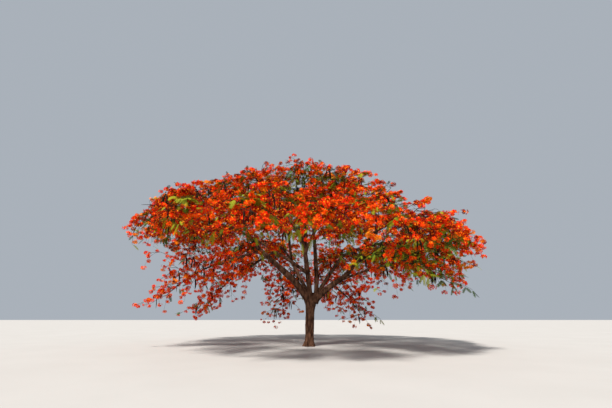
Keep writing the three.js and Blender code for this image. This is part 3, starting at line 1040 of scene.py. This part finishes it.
def tube(curve, radius, sides, segments, closed=True, level=None):
    """A bar along a curve, its radius a function of the share of its length and of the angle about it."""
    shares = np.linspace(0, 1, segments + 1)
    centres = curve.at(shares)
    tangents = curve.tangent(shares)
    if level is None:
        chord = centres[-1] - centres[0]
        level = np.array([-chord[1], chord[0], 0.0])
        level = FRONT if np.hypot(*level[:2]) < 1e-6 else unit(level)
    lifted = unit_rows(np.cross(level, tangents))
    across = np.cross(tangents, lifted)
    angles = np.arange(sides) * 2 * math.pi / sides
    wide = radius(shares[:, None], angles[None])
    points = (
        centres[:, None]
        + (wide * np.cos(angles))[..., None] * lifted[:, None]
        + (wide * np.sin(angles))[..., None] * across[:, None]
    ).reshape(-1, 3)
    around = np.arange(sides)
    ahead = (around + 1) % sides
    low = np.column_stack([around, ahead, ahead + sides])
    high = np.column_stack([around, ahead + sides, around + sides])
    triangles = repeated(np.concatenate([low, high]), segments, sides)
    if closed:
        points = np.vstack([points, centres[:1], centres[-1:]])
        middle = np.full(sides, len(points) - 2)
        last = segments * sides
        foot = np.column_stack([ahead, around, middle])
        tip = np.column_stack([around + last, ahead + last, middle + 1])
        triangles = np.concatenate([triangles, foot, tip])
    return points, triangles


HASH = np.array([374761393, 668265263, PRIME])


def value_noise(points, seed):
    """Smooth random values from -1 to 1, about one unit from hill to hill."""
    cell = np.floor(points).astype(np.int64)
    inside = points - cell
    inside = inside * inside * (3 - 2 * inside)
    total = np.zeros(len(points))
    for corner in np.ndindex(2, 2, 2):
        at = cell + np.array(corner)
        key = (at @ HASH + seed * 974711) & 0xFFFFFFFF
        key = ((key ^ (key >> 13)) * 1274126177) & 0xFFFFFFFF
        key ^= key >> 16
        weight = np.prod(np.where(np.array(corner) == 1, inside, 1 - inside), axis=1)
        total += weight * (key / 0x7FFFFFFF - 1)
    return total


# Materials. Each has its own colour, varied a little over the surface, and bark has its own relief.
def finish(name, colour, other, scale, roughness, bump=0.0, bump_scale=30.0, stretch=(1, 1, 1)):
    material = bpy.data.materials.new(name)
    material.use_nodes = True
    nodes, links = material.node_tree.nodes, material.node_tree.links
    shader = nodes["Principled BSDF"]
    shader.inputs["Roughness"].default_value = roughness
    shader.inputs["Specular IOR Level"].default_value = 0.06
    place = nodes.new("ShaderNodeTexCoord")
    mapping = nodes.new("ShaderNodeMapping")
    mapping.inputs["Scale"].default_value = stretch
    links.new(place.outputs["Object"], mapping.inputs["Vector"])

    def noise(size, detail):
        node = nodes.new("ShaderNodeTexNoise")
        node.inputs["Scale"].default_value = size
        node.inputs["Detail"].default_value = detail
        links.new(mapping.outputs["Vector"], node.inputs["Vector"])
        return node.outputs["Fac"]

    ramp = nodes.new("ShaderNodeValToRGB")
    for element, position, shade in zip(ramp.color_ramp.elements, (0.35, 0.65), (colour, other)):
        element.position = position
        element.color = (*shade, 1)
    links.new(noise(scale, 4), ramp.inputs["Fac"])
    links.new(ramp.outputs["Color"], shader.inputs["Base Color"])
    if bump:
        relief = nodes.new("ShaderNodeBump")
        relief.inputs["Strength"].default_value = bump
        relief.inputs["Distance"].default_value = 0.02
        links.new(noise(bump_scale, 6), relief.inputs["Height"])
        links.new(relief.outputs["Normal"], shader.inputs["Normal"])
    return material


FINISHES = {
    "bark": finish("bark", (0.024, 0.010, 0.0055), (0.150, 0.072, 0.042), 8, 0.9, 0.9, 38, (1, 1, 0.35)),
    "twig": finish("twig_bark", (0.018, 0.012, 0.008), (0.055, 0.037, 0.025), 7, 0.85),
    "pod": finish("pod_husk", (0.012, 0.007, 0.005), (0.035, 0.020, 0.012), 9, 0.55),
    "scarlet": finish("petal_scarlet", (0.84, 0.036, 0.001), (0.74, 0.020, 0.001), 2.5, 0.6),
    "orange_red": finish("petal_orange_red", (0.88, 0.085, 0.001), (0.84, 0.052, 0.001), 2.5, 0.6),
    "orange": finish("petal_orange", (0.90, 0.24, 0.004), (0.85, 0.17, 0.003), 2.5, 0.6),
    # Deep red petals: a darker tone of the blossom, and also painted shade deep in the crown and under the
    # tiers.
    "deep_red": finish("petal_deep_red", (0.38, 0.011, 0.003), (0.22, 0.007, 0.002), 2.5, 0.65),
    "standard": finish("petal_standard", (0.84, 0.27, 0.006), (0.80, 0.14, 0.003), 2.5, 0.6),
    "green": finish("leaf_green", (0.034, 0.070, 0.008), (0.075, 0.125, 0.011), 2, 0.6),
    "yellow_green": finish("leaf_yellow_green", (0.27, 0.26, 0.011), (0.16, 0.19, 0.009), 2, 0.6),
}


def make_piece(obj, material, slot, solids):
    """Makes an object a piece of the tree, on the body root, that stands for some solids of the source."""
    obj.data.materials.append(FINISHES[material])
    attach(obj, "root")
    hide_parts(*[solid.name for solid in solids])


def add_piece(name, points, triangles, material, slot, numbers, smooth=False):
    """A piece from points in millimetres, for the masses of the given numbers."""
    obj = mesh_object(name, points * MM, triangles, smooth)
    make_piece(obj, material, slot, [masses[number] for number in sorted(set(numbers))])


def add_many(name, points, faces, material, slot, numbers):
    """A piece of many like things, from an array of points for each."""
    triangles = repeated(faces, *points.shape[:2])
    add_piece(name, points.reshape(-1, 3), triangles, material, slot, numbers)


# Trunk and limbs: tubes fused into one skin that blends at the fork, then given the bark's relief.
VOXEL = 0.025
BLEND_STEPS = 5
BELOW_CUT = 250  # the trunk runs on this far down before it is cut flat at the ground
RAIL_POINTS = 80
SWELL_SHARE = 0.16  # the first stretch of a limb, thicker where it leaves what carries it
LIMB_SWELL = 0.3
BOUGH_SWELL = 0.45
BOUGH_SIDES, BOUGH_SEGMENTS = 14, 44


def tapering(radii, swell=0):
    """The radius of a tube that tapers, and may be thicker where it sets out."""

    def radius(share, angle):
        return lerp(*radii, share) * (1 + swell * np.maximum(0, 1 - share / SWELL_SHARE) ** 2)

    return radius


def add_rail(limb):
    """Points along a limb in metres: places, directions, lengths up to them and radii."""
    shares = np.linspace(0, 1, RAIL_POINTS)
    centres = limb.curve.at(shares) * MM
    steps = np.linalg.norm(np.diff(centres, axis=0), axis=1)
    lengths = np.concatenate([[0], np.cumsum(steps)])
    limb.rail = centres, limb.curve.tangent(shares), lengths, lerp(*limb.radii, shares) * MM


def local_grain(points, wood):
    """For each point: length along its limb, the two offsets from the limb's axis, and the radius there."""
    rows = []
    tree = kdtree.KDTree(sum(len(limb.rail[0]) for limb in wood))
    for number, limb in enumerate(wood):
        for i, centre in enumerate(limb.rail[0]):
            tree.insert(centre, len(rows))
            rows.append((number, i))
    tree.balance()
    found = np.array([rows[tree.find(p)[1]] for p in points])
    grain = np.zeros((len(points), 4))
    for number, limb in enumerate(wood):
        centres, ways, lengths, radii = limb.rail
        mine = found[:, 0] == number
        at = found[mine, 1]
        off = points[mine] - centres[at]
        way = ways[at]
        along = (off * way).sum(1)
        off = off - along[:, None] * way
        level = unit(np.cross(ways.mean(axis=0), [0.31, 0.95, 0.07]))
        other = np.cross(way, level)
        grain[mine, 0] = lengths[at] + along + number * 7.3
        grain[mine, 1] = off @ level
        grain[mine, 2] = (off * other).sum(1)
        grain[mine, 3] = radii[at]
    return grain


RIDGE_HEIGHT, WRINKLE_HEIGHT, LUMP_HEIGHT = 0.011, 0.0035, 0.016
FULL_BARK_RADIUS = 0.2  # of a limb whose bark stands out as far as these heights


def bark_relief(grain):
    """How far the bark stands out of the smooth limb, in metres."""
    length, across, beside, radius = grain.T
    size = np.clip(radius / FULL_BARK_RADIUS, 0.35, 1.2)

    def noise(along, aside, seed):
        return value_noise(np.stack([length * along, across * aside, beside * aside], axis=1), seed)

    ridges = RIDGE_HEIGHT * (1 - np.abs(noise(3.2, 22, 1)) * 2)
    return size * (ridges + WRINKLE_HEIGHT * noise(17, 6, 2) + LUMP_HEIGHT * noise(1.6, 5, 3))


def fused_skin(parts):
    """One mesh from several closed tubes that run into each other."""
    points, triangles = stacked(parts)
    rough = mesh_object("rough_wood", points * MM, triangles)
    remesh = rough.modifiers.new("fuse", "REMESH")
    remesh.mode = "VOXEL"
    remesh.voxel_size = VOXEL
    smooth = rough.modifiers.new("blend", "SMOOTH")
    smooth.factor = 0.5
    smooth.iterations = BLEND_STEPS
    skin = bpy.data.meshes.new_from_object(rough.evaluated_get(bpy.context.evaluated_depsgraph_get()))
    bpy.data.objects.remove(rough, do_unlink=True)
    return skin


def carve_bark(skin, wood):
    count = len(skin.vertices)
    points, normals = np.empty(count * 3), np.empty(count * 3)
    skin.vertices.foreach_get("co", points)
    skin.vertices.foreach_get("normal", normals)
    points, normals = points.reshape(-1, 3), normals.reshape(-1, 3)
    points = points + normals * bark_relief(local_grain(points, wood))[:, None]
    skin.vertices.foreach_set("co", points.ravel())


def cut_flat(skin):
    """Cuts off what is below the ground and closes the cut."""
    shape = bmesh.new()
    shape.from_mesh(skin)
    everything = shape.verts[:] + shape.edges[:] + shape.faces[:]
    bmesh.ops.bisect_plane(shape, geom=everything, plane_co=(0, 0, 0), plane_no=(0, 0, -1), clear_outer=True)
    bmesh.ops.contextual_create(shape, geom=[edge for edge in shape.edges if edge.is_boundary])
    bmesh.ops.triangulate(shape, faces=shape.faces[:])
    shape.to_mesh(skin)
    shape.free()


def make_trunk():
    wood = [limb for limb in limbs if "_bough_" not in limb.name]
    for limb in wood:
        add_rail(limb)
    foot = Curve([0, 0, -BELOW_CUT], [0, 0, -BELOW_CUT / 2], [0, 0, 8])
    parts = [
        tube(wood[0].curve, trunk_radius, 40, 40, level=FRONT),
        tube(foot, lambda share, angle: trunk_radius(0, angle), 40, 3),
    ]
    parts += [tube(limb.curve, tapering(limb.radii, LIMB_SWELL), 20, 30) for limb in wood[1:]]
    skin = fused_skin(parts)
    carve_bark(skin, wood)
    cut_flat(skin)
    skin.polygons.foreach_set("use_smooth", np.full(len(skin.polygons), True))
    make_piece(linked("trunk_and_limbs", skin), "bark", "bark", wood)


def make_boughs():
    boughs = [limb for limb in limbs if "_bough_" in limb.name]
    parts = []
    for limb in boughs:
        add_rail(limb)
        radius = tapering(limb.radii, BOUGH_SWELL)
        points, triangles = tube(limb.curve, radius, BOUGH_SIDES, BOUGH_SEGMENTS)
        shares = np.repeat(np.linspace(0, 1, BOUGH_SEGMENTS + 1), BOUGH_SIDES)
        out = unit_rows(points[:-2] - limb.curve.at(shares))
        grain = local_grain(points[:-2] * MM, [limb])
        points[:-2] += out * bark_relief(grain)[:, None] / MM
        parts.append((points, triangles))
    points, triangles = stacked(parts)
    make_piece(mesh_object("boughs", points * MM, triangles, smooth=True), "bark", "bark", boughs)


ring_of = np.array([mass.ring for mass in masses])


def columns(rows):
    return [np.array(column) for column in zip(*rows)]


def make_twigs():
    for ring in RULES:
        rows = [row for row in twig_list if ring_of[row[-1]] == ring]
        parts = [tube(curve, tapering(radii), *counts, closed=False) for curve, radii, *counts, _ in rows]
        numbers = [row[-1] for row in rows]
        add_piece(f"twigs_{ring}", *stacked(parts), "twig", "twig", numbers, smooth=True)


def level_frames(ways):
    """Two directions square to each way, as arrays."""
    helper = np.where(np.abs(ways[:, 2:3]) < 0.9, UP, np.array([1.0, 0.0, 0.0]))
    side = unit_rows(np.cross(helper, ways))
    return side, np.cross(ways, side)


def spun(first, second, angles):
    """Two arrays of directions, turned in their common plane."""
    c, s = np.cos(angles)[:, None], np.sin(angles)[:, None]
    return first * c + second * s, second * c - first * s


def placed(template, *axes):
    """A template's points along the three directions of each of several frames."""
    return sum(template[:, i, None] * axis[:, None] for i, axis in enumerate(axes))


# A petal's corners as shares of a flower's radius: outward, aside and up.
PETAL = ((0.64, -0.31, 0.12), (1.0, 0.0, -0.04), (0.64, 0.31, 0.12))


def flower_template(petals):
    """Some of a flower's five petals, each of two faces, in the plane across +Z, with a radius of 1."""
    points = [(0, 0, -0.12)]
    triangles = []
    for petal in petals:
        a = petal * 2 * math.pi / 5
        c, s = math.cos(a), math.sin(a)
        first = len(points)
        for out, aside, lift in PETAL:
            points.append((out * c - aside * s, out * s + aside * c, lift))
        triangles += [(0, first, first + 1), (0, first + 1, first + 2)]
    return np.array(points), np.array(triangles)


GOLDEN_ANGLE = 2.39996


def dome_template():
    """The directions of a head's flowers, spread over the upper side of a ball."""
    rows = []
    for i in range(FLOWERS_EACH):
        lift = 1 - 1.25 * (i + 0.4) / FLOWERS_EACH
        flat = math.sqrt(1 - lift * lift)
        rows.append((flat * math.cos(i * GOLDEN_ANGLE), flat * math.sin(i * GOLDEN_ANGLE), lift))
    return np.array(rows)


def make_blossom():
    rng = np.random.default_rng(5)
    places, axes, sizes, colours, numbers = columns(head_list)
    count = len(places)
    side, other = spun(*level_frames(axes), rng.uniform(0, 2 * math.pi, count))
    ways = placed(dome_template(), side, other, axes)
    ways = unit_rows(ways + rng.normal(0, FLOWER_TILT, ways.shape))
    reach = sizes[:, None, None] * rng.uniform(*FLOWER_REACH, (count, FLOWERS_EACH, 1))
    room = np.array([HEAD_RADIUS, HEAD_RADIUS, HEAD_HEIGHT])
    centres = (places[:, None] + ways * reach * room).reshape(-1, 3)
    kept = rng.random(len(centres)) < FLOWERS_KEPT
    centres, ways = centres[kept], ways.reshape(-1, 3)[kept]
    feet, sizes, colours, numbers = (
        np.repeat(rows, FLOWERS_EACH, axis=0)[kept] for rows in (places, sizes, colours, numbers)
    )
    radii = FLOWER_RADIUS * sizes * rng.uniform(*FLOWER_SIZES, len(ways))
    first, second = spun(*level_frames(ways), rng.uniform(0, 2 * math.pi, len(ways)))

    def add_petals(petals, mine, ring, colour):
        template, faces = flower_template(petals)
        flowers = placed(template, first[mine], second[mine], ways[mine])
        points = centres[mine, None] + radii[mine, None, None] * flowers
        add_many(f"blossom_{ring}_{colour}", points, faces, colour, "flower", numbers[mine])

    for ring in RULES:
        mine = ring_of[numbers] == ring
        aside = first[mine] * STALK_WIDTH / 2
        points = np.stack([feet[mine] - aside, feet[mine] + aside, centres[mine]], axis=1)
        faces = np.array([[0, 1, 2]])
        add_many(f"stalks_{ring}", points, faces, "yellow_green", "leaf", numbers[mine])
        add_petals((4,), mine, ring, "standard")
        for number, colour in enumerate(BLOSSOM_COLOURS):
            of_colour = mine & (colours == number)
            if of_colour.any():
                add_petals((0, 1, 2, 3), of_colour, ring, colour)


PINNAE = 10
PINNA_SPAN = (0.14, 0.96)
PINNA_LENGTH = 0.3
PINNA_HALF_WIDTH = 0.042
RIB_HALF_WIDTH = 0.009


def leaf_template():
    """A feathery leaf, 1 long: pairs of narrow blades and a rib, as (along, aside, above) rows."""
    points, triangles = [], []
    for at, bulge in zip(evenly(*PINNA_SPAN, PINNAE), evenly(0.26, 0.86, PINNAE)):
        long = PINNA_LENGTH * math.sin(math.pi * bulge)
        for sign in (-1, 1):
            forward, aside = 0.5, 0.87 * sign
            first = len(points)
            for out, off in ((0.06, -PINNA_HALF_WIDTH), (1, 0), (0.06, PINNA_HALF_WIDTH)):
                x = at + out * long * forward - off * aside
                y = out * long * aside + off * forward
                points.append((x, y, -0.22 * out * long))
            triangles.append((first, first + 1, first + 2))
    first = len(points)
    points += [(0, -RIB_HALF_WIDTH, 0), (0, RIB_HALF_WIDTH, 0), (1, 0, 0)]
    triangles.append((first, first + 2, first + 1))
    return np.array(points), np.array(triangles)


def make_leaves():
    rng = np.random.default_rng(7)
    roots, ways, lengths, droops, colours, numbers = columns(leaf_list)
    side, above = spun(*level_frames(ways), rng.normal(0, LEAF_ROLL, len(roots)))
    template, faces = leaf_template()
    sag = droops[:, None] * template[None, :, 0] ** 2
    leaves = placed(template, ways, side, above) - sag[..., None] * UP
    points = roots[:, None] + lengths[:, None, None] * leaves
    for ring in RULES:
        for number, colour in enumerate(LEAF_COLOURS):
            mine = (ring_of[numbers] == ring) & (colours == number)
            if mine.any():
                add_many(f"leaves_{ring}_{colour}", points[mine], faces, colour, "leaf", numbers[mine])


POD_SIDES, POD_SEGMENTS = 4, 3


def pod_radius(share, angle):
    return POD[1] / 2 * np.sin(math.pi * lerp(0.06, 0.97, share)) ** 0.55


def make_pods():
    """Long flat pods, each a bent bar pressed to its thickness."""
    parts = []
    for root, length, bend, _ in pod_list:
        aside = polar(bend, length * 0.22, 0)
        curve = Curve(root, root + aside - UP * length * 0.45, root + aside * 0.8 - UP * length)
        points, triangles = tube(curve, pod_radius, POD_SIDES, POD_SEGMENTS)
        shares = np.repeat(np.linspace(0, 1, POD_SEGMENTS + 1), POD_SIDES)
        centres = curve.at(np.concatenate([shares, [0, 1]]))
        across = polar(bend + 90, 1, 0)
        pressed = ((points - centres) @ across)[:, None] * across * (1 - POD[2] / POD[1])
        parts.append((points - pressed, triangles))
    add_piece("pods", *stacked(parts), "pod", "pod", [row[-1] for row in pod_list], smooth=True)


make_trunk()
make_boughs()
make_twigs()
make_blossom()
make_leaves()
make_pods()

# The viewpoint of the photograph, at eye height and 20 m in front of the trunk, looking a little up.
EYE = (-0.17, -20.0, 1.55)
TILT_UP = 17.7
FOCAL_PIXELS = 350
PHOTO_WIDTH = 612
SENSOR_WIDTH = 36
VIEW_DEPTH = 500
FLOOR_HALF = 120.0
SUN_STRENGTH, SKY_STRENGTH = 6.0, 0.5


def add_camera():
    data = bpy.data.cameras.new("camera")
    data.sensor_width = SENSOR_WIDTH
    data.lens = SENSOR_WIDTH * FOCAL_PIXELS / PHOTO_WIDTH
    data.clip_end = VIEW_DEPTH
    camera = linked("camera", data)
    camera.location = EYE
    camera.rotation_euler = (math.radians(90 + TILT_UP), 0, 0)
    bpy.context.scene.camera = camera


def add_floor():
    corners = [(x * FLOOR_HALF, y * FLOOR_HALF, 0) for x, y in ((-1, -1), (1, -1), (1, 1), (-1, 1))]
    floor = mesh_object("floor", corners, [(0, 1, 2), (0, 2, 3)])
    floor.data.materials.append(finish("floor", (0.44, 0.42, 0.40), (0.455, 0.435, 0.415), 0.4, 0.9))


def add_light():
    sun = bpy.data.lights.new("sun", "SUN")
    sun.energy = SUN_STRENGTH
    sun.angle = math.radians(9)
    sun.color = (1.0, 0.97, 0.92)
    linked("sun", sun).rotation_euler = (math.radians(32), math.radians(-18), 0)
    world = bpy.data.worlds.new("studio")
    world.use_nodes = True
    background = world.node_tree.nodes["Background"]
    background.inputs["Color"].default_value = (0.80, 0.88, 0.98, 1)
    background.inputs["Strength"].default_value = SKY_STRENGTH
    bpy.context.scene.world = world
    bpy.context.scene.view_settings.view_transform = "Standard"


add_camera()
add_floor()
add_light()
